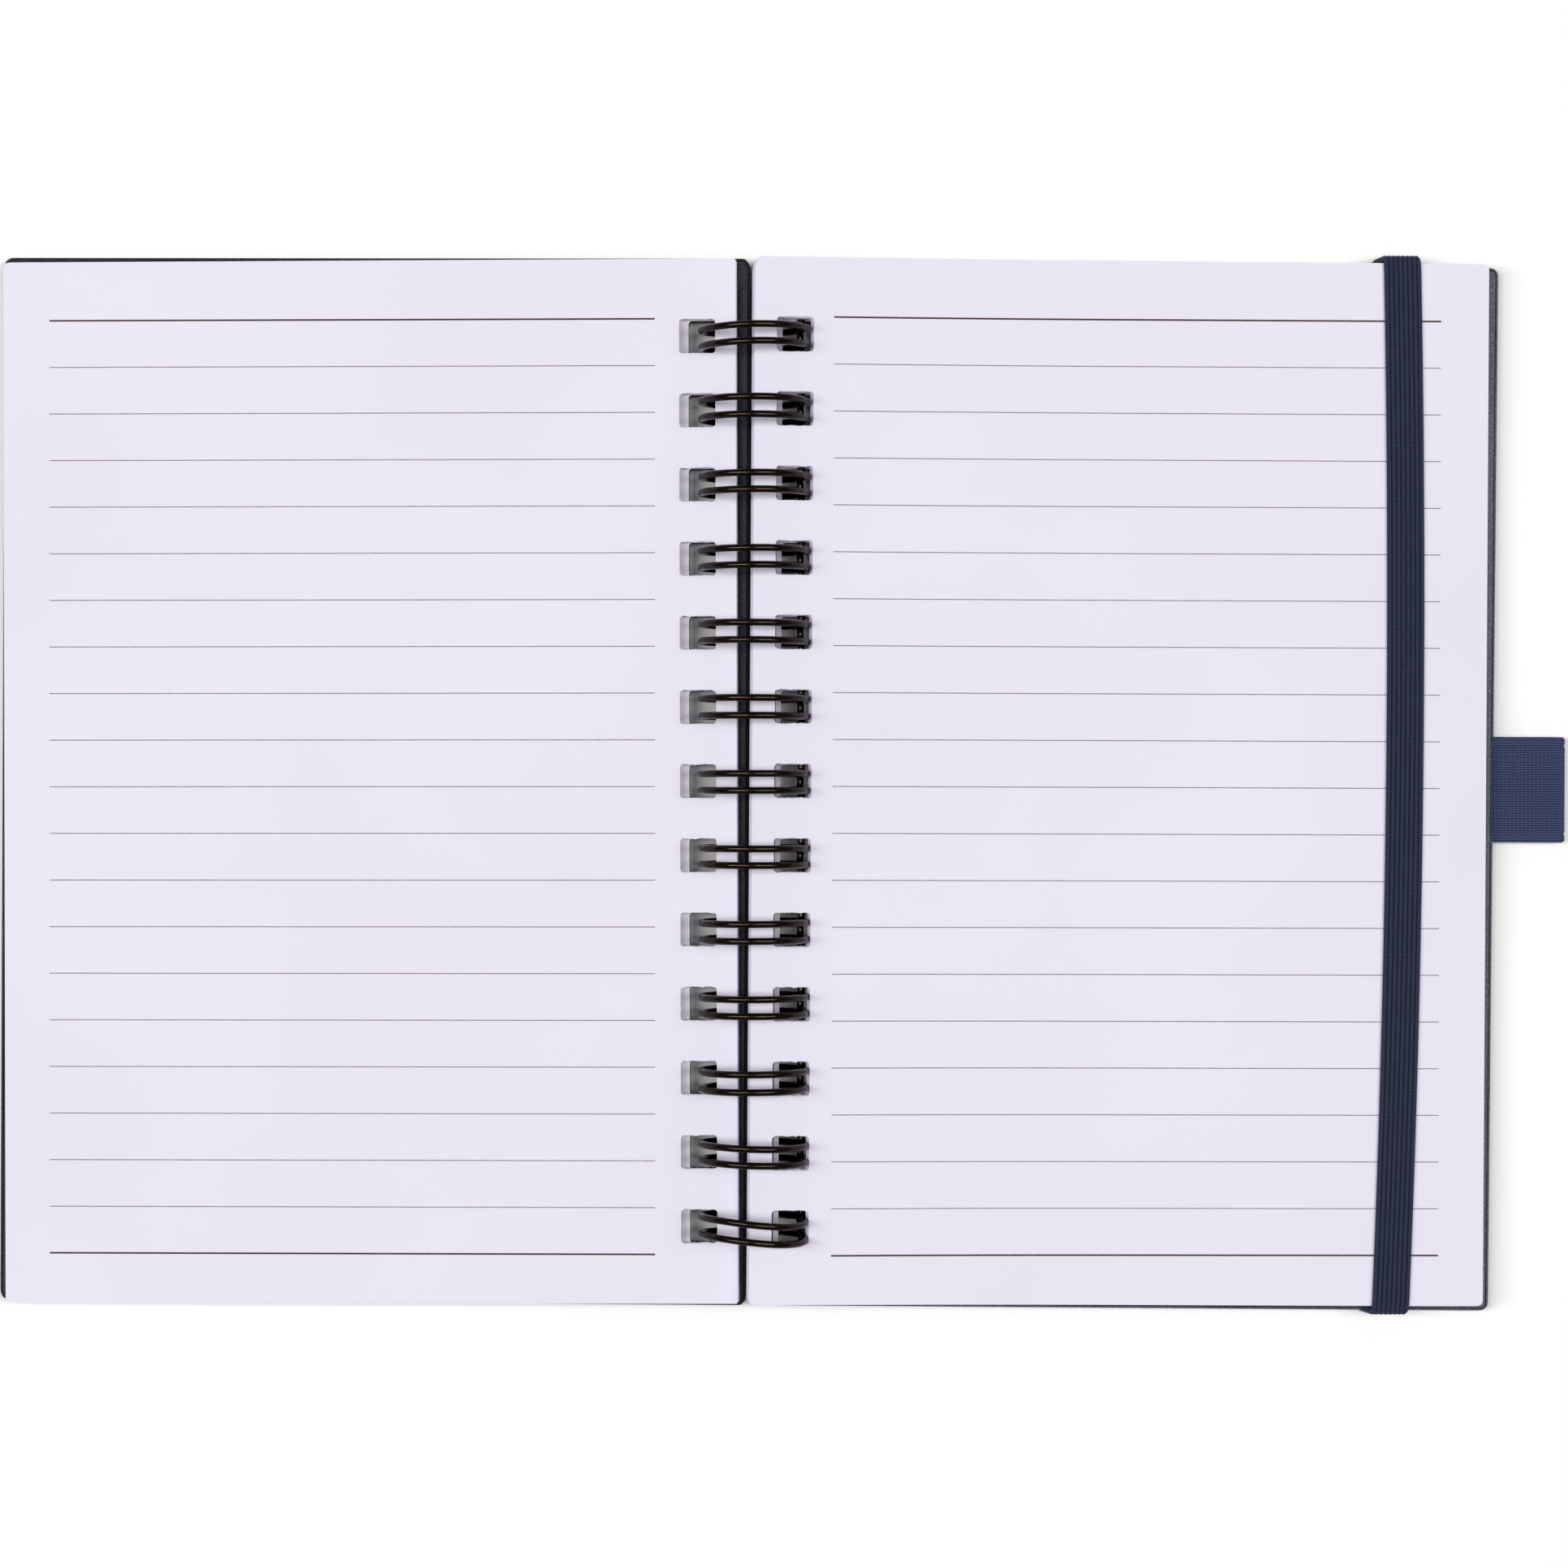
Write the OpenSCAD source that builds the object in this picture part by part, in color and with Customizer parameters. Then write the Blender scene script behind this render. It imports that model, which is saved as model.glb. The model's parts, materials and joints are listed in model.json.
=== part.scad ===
// Twin-wire notebook with hard covers, lying open near its middle.
// +X points to the right-hand page, +Y to the head of the page and +Z up.
// The origin is on the table under the middle of the open notebook.
// The covers and leaves of each side are drawn in a flat frame of their own: u runs outwards from
// the axis of the wire, y along it, and w up from the outside face of the board.

/* [Wire binding] */
// Diameter of the wire
wire_d = 1.2; // [0.9:0.1:1.4]
// Radius of the closed loops, to the middle of the wire
ring_r = 8.9; // [8.8:0.1:10]
// Distance from one double loop to the next
loop_pitch = 12.7; // [11:0.1:14]
// Least distance from the head and foot of a leaf to the middle of a double loop
row_margin = 12; // [8:0.5:12]
// Distance between the two wires of one loop
pair_gap = 2.9; // [2.6:0.1:3.2]
// Radius of the bends from the loops into the bars of the seam
root_r = 1; // [0.8:0.1:1.2]
// Distance from the rounded tip of a loop to the middle of the seam bars
tip_gap = 0.35; // [0.35:0.05:0.6]
// Stub of bar left beyond the first and last loop
stub_len = 1.2; // [0.5:0.1:2]
// Clearance between the seam bars and what lies above and below them
seam_clear = 0.12; // [0.08:0.02:0.2]
// How much the wire thins where it is bent sharply
bend_thin = 0.02; // [0.01:0.01:0.05]

/* [Cover boards] */
// Width of the front board, from the spine to the fore edge
cover_w = 128.4; // [120:0.2:140]
// How much narrower the back board is than the front board
back_trim = 1; // [0:0.2:1.4]
// Height of a board
cover_h = 180; // [180:1:190]
// Thickness of a board with its covering
cover_t = 2.2; // [2:0.1:2.6]
// Radius of the corners of a board
cover_corner_r = 1.4; // [1:0.1:3]
// Radius of the long and short edges of a board
cover_edge_r = 0.6; // [0.4:0.1:0.8]
// Distance from the axis of the wire to the spine edge of the front board
front_inset = 0.9; // [0.8:0.05:1.1]
// Distance from the axis of the wire to the spine edge of the back board
back_inset = 0.45; // [0.4:0.05:0.9]
// Clearance between the margin of a board and the wire under it
cover_clear = 0.1; // [0.05:0.05:0.2]

/* [Linings] */
// Thickness of the paper that lines the inside of a board
lining_t = 0.25; // [0.15:0.05:0.35]
// Rim of board left round the lining
lining_rim = 3.2; // [3:0.1:3.4]

/* [Leaves] */
// How much narrower a leaf is than the front board
leaf_trim = 2.4; // [2:0.1:5]
// Rim of board left beyond the head and foot of a leaf
leaf_rim = 0.75; // [0.5:0.05:2]
// Radius of the corners of a leaf
page_corner_r = 1.1; // [0.6:0.1:3]
// Height of the left-hand leaves as a stack
left_stack_t = 2.4; // [2:0.1:2.5]
// Height of the right-hand leaves as a stack
right_stack_t = 3.2; // [2.6:0.1:3.4]
// Distance from the axis of the wire to the spine edge of the lowest left-hand leaf
left_inset = 2.6; // [2.4:0.1:2.8]
// How much further out the top left-hand leaf lies than the lowest
left_fan = 0.15; // [0.1:0.05:0.3]
// Distance that the spine edge of the top right-hand leaf lies past the axis of the wire
right_lap = 0.05; // [0:0.05:0.1]
// How much further out the top right-hand leaf lies than the lowest
right_fan = 0.4; // [0.2:0.05:0.5]
// Air between the right-hand leaves at the spine, where the seam lifts them
right_swell = 0.35; // [0.2:0.05:0.4]
// Distance from the spine at which the right-hand leaves lie flat
flat_from = 62; // [50:1:80]
// How far the band draws the fore edge of the right-hand leaves down
fore_droop = 0.35; // [0.1:0.05:0.5]
// Turn of the left-hand leaves and front cover in their own plane, in degrees
left_skew = 0.1; // [0:0.05:0.15]
// Turn of the right-hand leaves and back cover in their own plane, in degrees
right_skew = 0.28; // [0:0.02:0.3]

/* [Punched holes] */
// Margin between the holes and the spine edge of each board and leaf
punch_margin = 4.1; // [3.9:0.1:4.2]
// Width of a hole, across the spine
hole_w = 6; // [5.9:0.1:6.2]
// Height of a hole, along the spine
hole_h = 6; // [5.6:0.1:6.4]
// Radius of the corners of a hole
hole_corner_r = 0.6; // [0.3:0.1:1]

/* [Printed ruling] */
// Distance from one ruled line to the next
line_pitch = 8; // [7:0.1:8]
// Least distance from the head and foot of the page to the ruling
line_margin = 8.5; // [6:0.5:20]
// Distance from the end of a ruled line to the fore edge of the leaf
line_end = 7.8; // [2:0.1:15]
// Thickness of the first and last line
line_bold = 0.3; // [0.2:0.05:0.5]
// Thickness of the other lines
line_fine = 0.16; // [0.1:0.02:0.25]
// Distance from the spine edge of the top leaf to the ruling
line_inset = 14; // [12:0.5:15]
// Distance that the middle of the ruling lies below the middle of the page
line_drop = 0.65; // [0:0.05:2]
// Thickness of the printed ink
ink_t = 0.02; // [0.02:0.01:0.05]

/* [Elastic band] */
// Width of the band
band_w = 6.4; // [5:0.1:8]
// Thickness of the band
band_t = 0.9; // [0.6:0.1:1.1]
// Distance from the fore edge of the back board to the middle of the band
band_in = 17.75; // [15:0.05:25]
// How far the band bows outwards at mid height
band_bow = 1.4; // [0:0.1:2]
// How far the band leans outwards at the head and inwards at the tail
band_lean = 0.6; // [0:0.1:1.2]
// How far inwards the band slips where it folds under the back cover
band_slip = 2; // [0:0.1:2.5]
// Outer radius of the band where it turns over the head and tail
band_turn_r = 1.4; // [1.2:0.1:2]
// How much nearer the spine the slits for the ends of the band are than the band
slit_shift = 7.1; // [0:0.1:12]
// Distance from the head or tail of the back cover to its slit
slit_in = 18; // [12:1:25]
// Length of band glued under the lining past each slit
band_tail = 9; // [6:0.5:12]
// Clearance round the band in its slit
slit_clear = 0.2; // [0.1:0.05:0.3]

/* [Pen loop] */
// Width of the webbing, along the fore edge
loop_w = 18.2; // [12:0.2:24]
// Thickness of the webbing
loop_t = 0.7; // [0.5:0.05:0.8]
// How far the loop stands out from the fore edge
loop_out = 12.2; // [9:0.2:16]
// Height of the loop at its outer fold
loop_fold = 2.5; // [2:0.1:2.8]
// Length of webbing glued under the lining
loop_tail = 9; // [6:0.5:14]
// Distance that the middle of the loop lies below the middle of the cover
loop_drop = 0.7; // [0:0.1:5]
// Clearance round the webbing in its recess
loop_clear = 0.2; // [0.1:0.05:0.3]

/* [Hidden] */

// Facets of a full circle, of the corners of a sheet and of the wire
round_fn = 48;
corner_fn = 24;
wire_fn = 32;
// Points along the curved top of the right-hand leaves and along the edge of the band
curve_steps = 14;
band_steps = 16;
// Overlap of a cutting shape past what it cuts
past = 1;

board_color = [0.2, 0.21, 0.25];
lining_color = [0.88, 0.87, 0.92];
paper_color = [0.93, 0.92, 0.96];
ink_color = [0.35, 0.3, 0.38];
elastic_color = [0.14, 0.16, 0.27];
wire_color = [0.12, 0.11, 0.11];

// The leaves lie within the boards, and the row of loops and the ruling within the leaves.
page_w = cover_w - leaf_trim;
page_h = cover_h - 2 * leaf_rim;
loop_count = floor((page_h - 2 * row_margin) / loop_pitch) + 1;
line_count = floor((page_h - 2 * line_margin) / line_pitch) + 1;
line_len = page_w - line_inset - line_end;

// The loops stand on the table, and each board rests on them just inside its holes.
ring_z = ring_r + wire_d / 2;
loop_y = [for (i = [0:loop_count - 1]) (i - (loop_count - 1) / 2) * loop_pitch];
last_y = loop_y[loop_count - 1];
front_near = front_inset + punch_margin;
back_near = back_inset + punch_margin;
back_w = cover_w - back_trim;
front_fore_u = front_inset + cover_w;
back_fore_u = back_inset + back_w;
band_u = back_fore_u - band_in;
slit_u = band_u - slit_shift;
inner_w = cover_t + lining_t;
function rest_z(near_u, skew) = ring_z + cover_clear
    - sqrt(pow(ring_r - wire_d / 2, 2) - pow(near_u + last_y * sin(skew), 2));

// The front cover slopes down to its fore edge, and the back cover to the band under it.
fore_reach = front_fore_u + cover_h / 2 * sin(left_skew);
band_reach = band_u + band_lean + band_w / 2 + cover_h / 2 * sin(right_skew);
left_tilt = asin(rest_z(front_near, left_skew) / (fore_reach - front_near));
right_tilt = asin((rest_z(back_near, right_skew) - band_t) / (band_reach - back_near));
left_rise = fore_reach * sin(left_tilt);
right_rise = band_reach * sin(right_tilt) + band_t;

// Reach of the front cover to the left and of the pen loop to the right
loop_mid_w = cover_t - loop_t;
left_reach = (front_fore_u - cover_edge_r) * cos(left_tilt)
    + (cover_t - cover_edge_r) * sin(left_tilt) + cover_edge_r;
right_reach = (back_fore_u + loop_out - loop_fold / 2) * cos(right_tilt)
    + loop_mid_w * sin(right_tilt) + loop_fold / 2;
axis_x = (left_reach - right_reach) / 2;

// The seam bars lie on the back lining, where the loops pass it.
seam_depth = ring_z - right_rise - inner_w - seam_clear - wire_d / 2;
seam_angle = -asin(seam_depth / ring_r) - right_tilt;
seam_u = sqrt(pow(ring_r, 2) - pow(seam_depth, 2));
seam_lift = wire_d + 2 * seam_clear;
root_angle = seam_angle + root_r / ring_r * 180 / PI;
tip_angle = seam_angle - (tip_gap + pair_gap / 2) / ring_r * 180 / PI;

// Slant of each stack of leaves, from the vertical
left_slant = atan(left_fan / left_stack_t);
right_slant = atan(right_fan / right_stack_t);

// Lower and upper face of the right-hand leaves over the back cover
lift_end = flat_from - seam_u;
function lift(u) = u < flat_from ? pow((flat_from - u) / lift_end, 2) : 0;
function under_w(u) = inner_w + seam_lift * lift(u);
band_end = band_u + band_bow + band_w;
page_end = page_w - right_lap;
function droop(u) = u > band_end ? fore_droop * (u - band_end) / (page_end - band_end) : 0;
function upper_w(u) = under_w(u) + right_stack_t + right_swell * lift(u) - droop(u);
spine_u = -right_lap - right_fan - past;
curve_u = [for (i = [0:curve_steps]) spine_u + (flat_from - spine_u) * i / curve_steps];
leaf_u = concat(curve_u, [band_end, page_end + past]);

// Level of the band on the printed leaves, and the middle line of the band
band_w0 = inner_w + right_stack_t + ink_t;
turn_y = cover_h / 2;
function band_mid(y) = band_u + band_bow * (1 - pow(y / turn_y, 2)) + band_lean * y / turn_y;
slit_y = turn_y - slit_in;

// A length to the nearest 0.002 mm, so that half of it is a short number too
function short(length) = round(length * 500) / 500;

// A rectangle with round corners, about the origin
module round_rect(size, r) {
    w = short(size[0]);
    h = short(size[1]);
    square([w - 2 * r, h], center = true);
    square([w, h - 2 * r], center = true);
    for (sx = [-1, 1], sy = [-1, 1])
        translate([sx * (w / 2 - r), sy * (h / 2 - r)])
            circle(r, $fn = corner_fn);
}

// Places what is drawn in the flat frame of the left-hand side
module on_left() {
    translate([axis_x, 0, left_rise])
        rotate([0, -left_tilt, 0])
            rotate([0, 0, left_skew])
                mirror([1, 0, 0])
                    children();
}

// Places what is drawn in the flat frame of the right-hand side
module on_right() {
    translate([axis_x, 0, right_rise])
        rotate([0, right_tilt, 0])
            rotate([0, 0, -right_skew])
                children();
}

// A profile drawn in u and w, drawn out along y
module along_y(length) {
    rotate([90, 0, 0])
        linear_extrude(length, center = true)
            children();
}

// The row of punched holes, as straight shafts that lean outwards by slant
module hole_row(near_u, w, slant, depth) {
    for (y = loop_y)
        translate([near_u + hole_w / 2, y, w])
            rotate([0, slant, 0])
                linear_extrude(depth, center = true)
                    round_rect([hole_w * cos(slant), hole_h], hole_corner_r);
}

// A board with rounded edges and corners, and its holes
module board(inset, width) {
    mid_u = inset + width / 2;
    difference() {
        intersection() {
            translate([mid_u, 0, 0])
                linear_extrude(cover_t)
                    round_rect([width, cover_h], cover_corner_r);
            translate([mid_u, 0, cover_t / 2])
                along_y(cover_h)
                    round_rect([width, cover_t], cover_edge_r);
            translate([mid_u, 0, cover_t / 2])
                rotate([0, 0, 90])
                    along_y(width)
                        round_rect([cover_h, cover_t], cover_edge_r);
        }
        hole_row(inset + punch_margin, cover_t / 2, 0, cover_t + 2 * past);
    }
}

// A sheet of lining paper on the inside of a board, punched together with it
module lining(inset, width) {
    difference() {
        translate([inset + width / 2, 0, cover_t])
            linear_extrude(lining_t)
                round_rect([width - 2 * lining_rim, cover_h - 2 * lining_rim], page_corner_r);
        hole_row(inset + punch_margin, cover_t, 0, 2 * past);
    }
}

// The slanted outline that a fanned stack of leaves fills
module leaf_outline(edge_u, w, slant, depth) {
    translate([edge_u + page_w / 2, 0, w])
        rotate([0, slant, 0])
            linear_extrude(depth, center = true)
                round_rect([page_w * cos(slant), page_h], page_corner_r);
}

module front_cover() {
    color(board_color)
        on_left()
            board(front_inset, cover_w);
}

module front_lining() {
    color(lining_color)
        on_left()
            lining(front_inset, cover_w);
}

// The left-hand leaves lie flat, each a little further out than the one below it.
module left_pages() {
    depth = page_w + left_stack_t;
    color(paper_color)
        on_left()
            difference() {
                intersection() {
                    leaf_outline(left_inset, inner_w, left_slant, depth);
                    translate([0, -page_h / 2 - past, inner_w])
                        cube([left_inset + left_fan + page_w + past, page_h + 2 * past, left_stack_t]);
                }
                hole_row(left_inset + punch_margin, inner_w, left_slant, depth);
            }
}

// Places and weights of the ruled lines, with the first and last one bold
line_y = [for (i = [0:line_count - 1]) ((line_count - 1) / 2 - i) * line_pitch - line_drop];
function line_weight(i) = i == 0 || i == line_count - 1 ? line_bold : line_fine;

module left_ruling() {
    start_u = left_inset + left_fan + line_inset;
    color(ink_color)
        on_left()
            for (i = [0:line_count - 1])
                translate([start_u, line_y[i] - line_weight(i) / 2, inner_w + left_stack_t])
                    cube([line_len, line_weight(i), ink_t]);
}

// Recess of the pen loop and slits and recesses of the band, in the back board
module back_cuts() {
    slit_w = band_w + 2 * slit_clear;
    translate([back_fore_u - loop_tail - loop_clear, -loop_drop - loop_w / 2 - loop_clear,
            cover_t - 2 * loop_t])
        cube([loop_tail + loop_clear + past, loop_w + 2 * loop_clear, 2 * loop_t + past]);
    for (side = [-1, 1])
        scale([1, side, 1]) {
            translate([slit_u - slit_w / 2, slit_y - band_t - slit_clear, -past])
                cube([slit_w, band_t + 2 * slit_clear, cover_t + 2 * past]);
            translate([slit_u - slit_w / 2, slit_y - band_tail - slit_clear, cover_t - band_t])
                cube([slit_w, band_tail + slit_clear, band_t + past]);
        }
}

module back_cover() {
    color(board_color)
        on_right()
            difference() {
                board(back_inset, back_w);
                back_cuts();
            }
}

module back_lining() {
    color(lining_color)
        on_right()
            lining(back_inset, back_w);
}

// The right-hand leaves rise over the seam and curve down to lie flat on the back cover.
module right_pages() {
    spine_w = upper_w(0);
    depth = page_w;
    color(paper_color)
        on_right()
            difference() {
                intersection() {
                    leaf_outline(-right_lap, spine_w, right_slant, depth);
                    along_y(page_h + 2 * past)
                        polygon(concat([for (u = leaf_u) [u, under_w(u)]],
                            [for (i = [len(leaf_u) - 1:-1:0]) [leaf_u[i], upper_w(leaf_u[i])]]));
                }
                hole_row(punch_margin - right_lap, spine_w, right_slant, depth);
            }
}

module right_ruling() {
    start_u = line_inset - right_lap;
    end_u = start_u + line_len;
    top = [for (u = leaf_u) [u, upper_w(u)]];
    line_u = concat([start_u], [for (u = leaf_u) if (u > start_u && u < end_u) u], [end_u]);
    color(ink_color)
        on_right()
            for (i = [0:line_count - 1])
                translate([0, line_y[i], 0])
                    along_y(line_weight(i))
                        polygon(concat([for (u = line_u) [u, lookup(u, top)]],
                            [for (k = [len(line_u) - 1:-1:0])
                                [line_u[k], lookup(line_u[k], top) + ink_t]]));
}

// The band as a closed belt round the leaves and the back cover, as wide as needed
module belt() {
    belt_h = band_w0 + 2 * band_t;
    translate([0, 0, band_w0 / 2])
        rotate([0, 0, 90])
            along_y(2 * back_fore_u)
                difference() {
                    round_rect([cover_h + 2 * band_t, belt_h], band_turn_r);
                    round_rect([cover_h, band_w0], cover_edge_r);
                }
}

// The band runs over the leaves and round head and tail, and its ends pass through the slits.
module elastic_band() {
    end_y = turn_y + 2 * band_t;
    band_y = [for (i = [0:band_steps]) -end_y + 2 * end_y * i / band_steps];
    half = band_w / 2;
    color(elastic_color)
        on_right() {
            intersection() {
                belt();
                translate([0, 0, cover_t / 2])
                    linear_extrude(band_w0 + 2 * band_t)
                        polygon(concat([for (y = band_y) [band_mid(y) - half, y]],
                            [for (i = [band_steps:-1:0]) [band_mid(band_y[i]) + half, band_y[i]]]));
            }
            for (side = [-1, 1])
                band_end_run(side);
        }
}

// One end of the band: under the back cover, up through its slit and under the lining
module band_end_run(side) {
    half = band_w / 2;
    fold_u = band_mid(side * turn_y) - band_slip;
    outer_y = side * (turn_y + 2 * band_t);
    intersection() {
        belt();
        translate([0, 0, -band_t - past])
            linear_extrude(band_t + past + cover_t / 2)
                polygon([[slit_u - half, side * (slit_y - band_t)], [slit_u - half, side * slit_y],
                    [fold_u - half, side * turn_y], [fold_u - half, outer_y],
                    [fold_u + half, outer_y], [fold_u + half, side * turn_y],
                    [slit_u + half, side * slit_y], [slit_u + half, side * (slit_y - band_t)]]);
    }
    scale([1, side, 1]) {
        translate([slit_u - half, slit_y - band_t, -band_t])
            cube([band_w, band_t, cover_t + band_t]);
        translate([slit_u - half, slit_y - band_tail, cover_t - band_t])
            cube([band_w, band_tail, band_t]);
    }
}

// A drop shape that opens from the flat tail of the pen loop to its round outer fold
module drop_shape(start_u, half_w, end_u, r) {
    mid_u = end_u - r;
    run = mid_u - start_u;
    lean = asin((r - half_w) / run);
    translate([mid_u, 0])
        circle(r, $fn = round_fn);
    polygon([[start_u, -half_w], [mid_u - r * sin(lean), -r * cos(lean)], [mid_u, 0],
        [mid_u - r * sin(lean), r * cos(lean)], [start_u, half_w]]);
}

// Webbing folded double, glued into the inside of the back cover and open beyond its fore edge
module pen_loop() {
    wall_r = loop_fold / 2;
    color(elastic_color)
        on_right()
            translate([0, -loop_drop, loop_mid_w])
                along_y(loop_w)
                    difference() {
                        union() {
                            translate([back_fore_u - loop_tail, -loop_t])
                                square([loop_tail, 2 * loop_t]);
                            drop_shape(back_fore_u, loop_t, back_fore_u + loop_out, wall_r);
                        }
                        drop_shape(back_fore_u, 0, back_fore_u + loop_out - loop_t,
                            wall_r - loop_t);
                    }
}

// Places what is drawn round the axis of the loops: x outwards, y along the wire, z along the row
module on_ring(y, angle) {
    translate([axis_x, y, ring_z])
        rotate([90, 0, 0])
            rotate([0, 0, angle])
                children();
}

// A bend of the wire in the plane that touches the loops, with a short straight seat at each end
module flat_bend(r, from, sweep) {
    bend_d = wire_d - bend_thin;
    seat = wire_d / 5;
    rotate([0, 90, 0])
        rotate([0, 0, from]) {
            rotate_extrude(angle = sweep)
                translate([r, 0])
                    circle(d = bend_d, $fn = wire_fn);
            translate([r, 0, 0])
                rotate([90, 0, 0])
                    cylinder(h = seat, d = bend_d, $fn = wire_fn);
            rotate([0, 0, sweep])
                translate([r, 0, 0])
                    rotate([-90, 0, 0])
                        cylinder(h = seat, d = bend_d, $fn = wire_fn);
        }
}

// One double loop: two round legs, a rounded tip and two bends into the bars of the seam
module double_loop(y) {
    half = pair_gap / 2;
    for (side = [-1, 1])
        on_ring(y - side * half, root_angle)
            rotate_extrude(angle = 360 - (root_angle - tip_angle))
                translate([ring_r, 0])
                    circle(d = wire_d, $fn = wire_fn);
    on_ring(y, tip_angle)
        translate([ring_r, 0, 0])
            flat_bend(half, 0, 180);
    on_ring(y, root_angle)
        translate([ring_r, 0, 0]) {
            translate([0, 0, half + root_r])
                flat_bend(root_r, -90, 90);
            translate([0, 0, -half - root_r])
                flat_bend(root_r, 180, 90);
        }
}

// A straight bar of the seam between two places on the row
module seam_bar(from_y, to_y) {
    on_ring(to_y, root_angle)
        translate([ring_r, -root_r, 0])
            cylinder(h = to_y - from_y, d = wire_d, $fn = wire_fn);
}

// One length of wire, bent into double loops that close on the bars of the seam
module binding_wire() {
    foot = pair_gap / 2 + root_r;
    color(wire_color) {
        for (y = loop_y)
            double_loop(y);
        for (i = [0:loop_count - 2])
            seam_bar(loop_y[i] + foot, loop_y[i + 1] - foot);
        seam_bar(-last_y - foot - stub_len, -last_y - foot);
        seam_bar(last_y + foot, last_y + foot + stub_len);
    }
}

front_cover();
front_lining();
left_pages();
left_ruling();
back_cover();
back_lining();
right_pages();
right_ruling();
elastic_band();
pen_loop();
binding_wire();
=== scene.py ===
"""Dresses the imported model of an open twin-wire notebook and sets it on a pale floor.

Lengths are in millimetres until a mesh is made. Each side of the notebook has a flat frame of its
own, as the CAD has: u runs outwards from the axis of the wire, y along it and w up from the outside
face of the board. A share runs from 0 at the bottom of a stack of leaves to 1 at its top.
"""

import json
import math
import random

import bmesh
import bpy
from mathutils import Matrix, Vector
from mathutils.geometry import delaunay_2d_cdt


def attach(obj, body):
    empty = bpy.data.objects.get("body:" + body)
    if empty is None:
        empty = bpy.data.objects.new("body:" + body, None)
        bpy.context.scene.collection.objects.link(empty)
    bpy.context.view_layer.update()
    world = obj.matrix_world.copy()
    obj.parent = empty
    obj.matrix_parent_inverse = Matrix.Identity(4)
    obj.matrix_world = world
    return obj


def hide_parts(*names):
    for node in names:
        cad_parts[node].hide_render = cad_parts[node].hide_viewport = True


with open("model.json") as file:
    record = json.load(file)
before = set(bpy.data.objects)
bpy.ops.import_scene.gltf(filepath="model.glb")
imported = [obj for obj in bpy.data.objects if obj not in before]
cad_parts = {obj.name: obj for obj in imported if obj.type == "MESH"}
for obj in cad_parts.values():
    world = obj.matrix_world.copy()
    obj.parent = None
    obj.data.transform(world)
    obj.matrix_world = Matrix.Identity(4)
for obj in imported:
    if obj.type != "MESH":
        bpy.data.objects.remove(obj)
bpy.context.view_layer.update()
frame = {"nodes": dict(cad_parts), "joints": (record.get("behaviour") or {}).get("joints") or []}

MM = 0.001

# ---- Sizes of the notebook ----

# Wire: its axis comes from the joint that closes the notebook. root_r is the radius of the bends
# from the loops into the bars of the seam, and stub_len the length of a bar past the end loops.
axis_point = frame["joints"][0]["pos_m"]
axis_x, ring_z = axis_point[0] / MM, axis_point[2] / MM
wire_d, ring_r, wire_sides = 1.2, 8.9, 16
loop_pitch, loop_count = 12.7, 13
pair_gap, root_r, stub_len = 2.9, 1.0, 1.2
seam_angle, tip_angle = math.radians(-23.0196), math.radians(-34.6075)
loop_y = [(i - (loop_count - 1) / 2) * loop_pitch for i in range(loop_count)]
# How far a loop leans along the row, on its left and on its right
loop_lean = {0: (0.7, -0.95), 1: (0.45, 0.0), loop_count - 1: (-0.7, -0.4)}
# Play of the other loops' lean, and of the gap between the two wires of a loop
lean_play, gap_play = 0.12, 0.06

# Boards
cover_h, cover_t, lining_t, cover_edge_r = 180.0, 2.2, 0.25, 0.6
front_w, front_inset, front_hole_u = 129.05, 0.75, 5.0
back_w, back_inset, back_hole_u = 126.55, 1.1, 4.55
inner_w = cover_t + lining_t

# Punched holes
hole_size, hole_corner_r = 6.0, 0.6
# Roughness of their edges in a board or in one of the leaves on top, and in the leaves below
open_jag, hidden_jag, rough_leaves = 0.07, 0.04, 3
# Their sides across the leaf are torn, with a chance of a deeper nick, and the others are calmer
torn_depth, nick_chance, calm_share = 0.1, 0.12, 0.35

# Leaves: a stack's spine edge lies at its inset, or at its lap past the wire's axis, and fans out
page_w, page_h, page_corner_r = 126.0, 178.75, 0.9
left_stack_t, right_stack_t = 2.4, 3.2
left_count, right_count = 24, 32
left_inset, left_fan = 2.6, 0.15
right_lap, right_fan = 0.05, 0.4
# The right-hand leaves rise and swell over the seam, lie flat from flat_from on and droop at the
# fore edge, where the band holds them down
seam_u, seam_lift, right_swell, flat_from, fore_droop = 8.25386, 1.44, 0.35, 62.0, 0.35
# Play of a leaf along the spine and in its turn, and the air on each side of it as a share of it
leaf_play_y, leaf_play_turn, leaf_air = 0.12, 0.0003, 0.06

# Ruling: line_drop is how far its middle lies below the page's
line_count, line_pitch, line_len = 21, 8.01, 104.2
line_bold, line_fine, line_inset, line_drop = 0.3, 0.16, 14.0, 0.65
ink_t = 0.02

# Elastic band: it bows and leans on the page, and goes into the board at slit_u, slit_in from the
# head and foot
band_w, band_t = 6.4, 0.9
band_u, band_bow, band_lean = 110.1, 1.4, 0.6
slit_u, slit_in, band_tail = 103.0, 18.0, 9.0
# Radius of its folds, and how far it slips sideways down the fold at the head and at the foot
band_fold_r, fold_slip = 0.6, {1: 1.0, -1: 1.7}
band_ribs, band_rib_steps, band_rib_depth = 8, 8, 0.24

# Pen loop: it stands out from the fore edge at loop_u, loop_fold thick at its fold
loop_w, loop_t, loop_out, loop_fold, loop_tail, loop_drop = 18.2, 0.7, 12.2, 2.5, 9.0, 0.7
loop_u, loop_rib, loop_rib_depth = 127.85, 0.67, 0.16
selvedge_w, selvedge_depth, selvedge_groove = 1.5, 0.07, 0.35


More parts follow.
